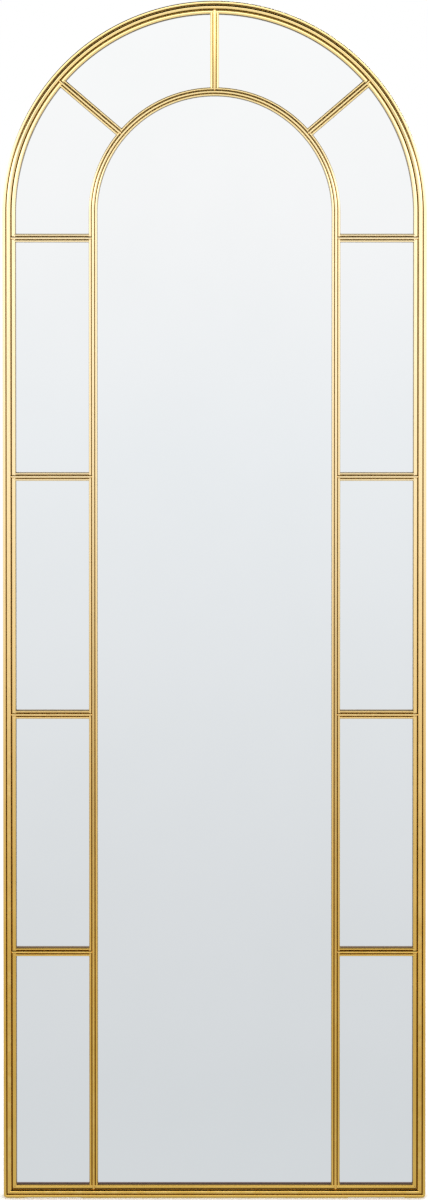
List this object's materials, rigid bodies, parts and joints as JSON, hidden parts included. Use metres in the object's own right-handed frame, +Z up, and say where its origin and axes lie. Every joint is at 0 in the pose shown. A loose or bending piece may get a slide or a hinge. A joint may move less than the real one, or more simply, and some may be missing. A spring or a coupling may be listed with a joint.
{
  "type": "leaning floor mirror",
  "caption": "Tall arched floor mirror in a reeded gold metal frame with glazing bars and a concentric inner hoop, leaning on a wall by rubber bumpers.",
  "frame": {"origin": "middle of the box's underside, where the rubber pads stand on the floor", "axes": "+Z up along the stiles, +X to the viewer's right, the mirror faces -Y"},
  "size_m": [0.6, 0.037, 1.7],
  "materials": {
    "gold_bars": "gold metallic lacquer, satin gloss",
    "gold_tube": "gold metallic lacquer, thinner coat",
    "mirror": "silvered float glass, grey backing paint",
    "tape": "black closed-cell foam tape",
    "foam": "white expanded polyethylene foam",
    "board": "brown fibreboard, smooth outer face",
    "block_rubber": "black rubber",
    "clip_steel": "zinc-plated spring steel",
    "screw_steel": "zinc-plated steel",
    "hanger_steel": "nickel-plated steel",
    "rivet_aluminium": "bare aluminium",
    "bumper_rubber": "grey-black rubber",
    "pad_rubber": "pale translucent rubber"
  },
  "bodies": {
    "frame": {"frame_hoop": "gold_bars", "bottom_rail": "gold_bars", "inner_hoop": "gold_bars", "crossbar_left_1": "gold_bars", "crossbar_right_1": "gold_bars", "crossbar_left_2": "gold_bars", "crossbar_right_2": "gold_bars", "crossbar_left_3": "gold_bars", "crossbar_right_3": "gold_bars", "crossbar_left_4": "gold_bars", "crossbar_right_4": "gold_bars", "radial_bar_left": "gold_bars", "radial_bar_centre": "gold_bars", "radial_bar_right": "gold_bars", "rear_hoop_tube": "gold_tube", "rear_bottom_tube": "gold_tube", "left_hanger_plate": "gold_tube", "right_hanger_plate": "gold_tube", "mirror_glass": "mirror", "glass_gasket": "tape", "foam_sheet": "foam", "backing_board": "board", "left_setting_block": "block_rubber", "right_setting_block": "block_rubber", "retaining_clip_1": "clip_steel", "retaining_clip_2": "clip_steel", "retaining_clip_3": "clip_steel", "retaining_clip_4": "clip_steel", "retaining_clip_5": "clip_steel", "retaining_clip_6": "clip_steel", "retaining_clip_7": "clip_steel", "retaining_clip_8": "clip_steel", "retaining_clip_9": "clip_steel", "retaining_clip_10": "clip_steel", "retaining_clip_11": "clip_steel", "clip_screws": "screw_steel", "bumper_screws": "screw_steel", "left_hanger_strap": "hanger_steel", "right_hanger_strap": "hanger_steel", "hanger_rivets": "rivet_aluminium", "left_wall_bumper": "bumper_rubber", "right_wall_bumper": "bumper_rubber", "left_foot_pad": "pad_rubber", "right_foot_pad": "pad_rubber"},
    "left_ring": {"left_hanger_ring": "hanger_steel"},
    "right_ring": {"right_hanger_ring": "hanger_steel"}
  },
  "joints": [
    {"name": "left_ring_swing", "type": "hinge", "parent": "frame", "child": "left_ring", "pos_m": [-0.274, 0.01325, 1.3], "axis": [1, 0, 0], "range_deg": [-25, 173]},
    {"name": "right_ring_swing", "type": "hinge", "parent": "frame", "child": "right_ring", "pos_m": [0.274, 0.01325, 1.3], "axis": [1, 0, 0], "range_deg": [-25, 173]}
  ]
}
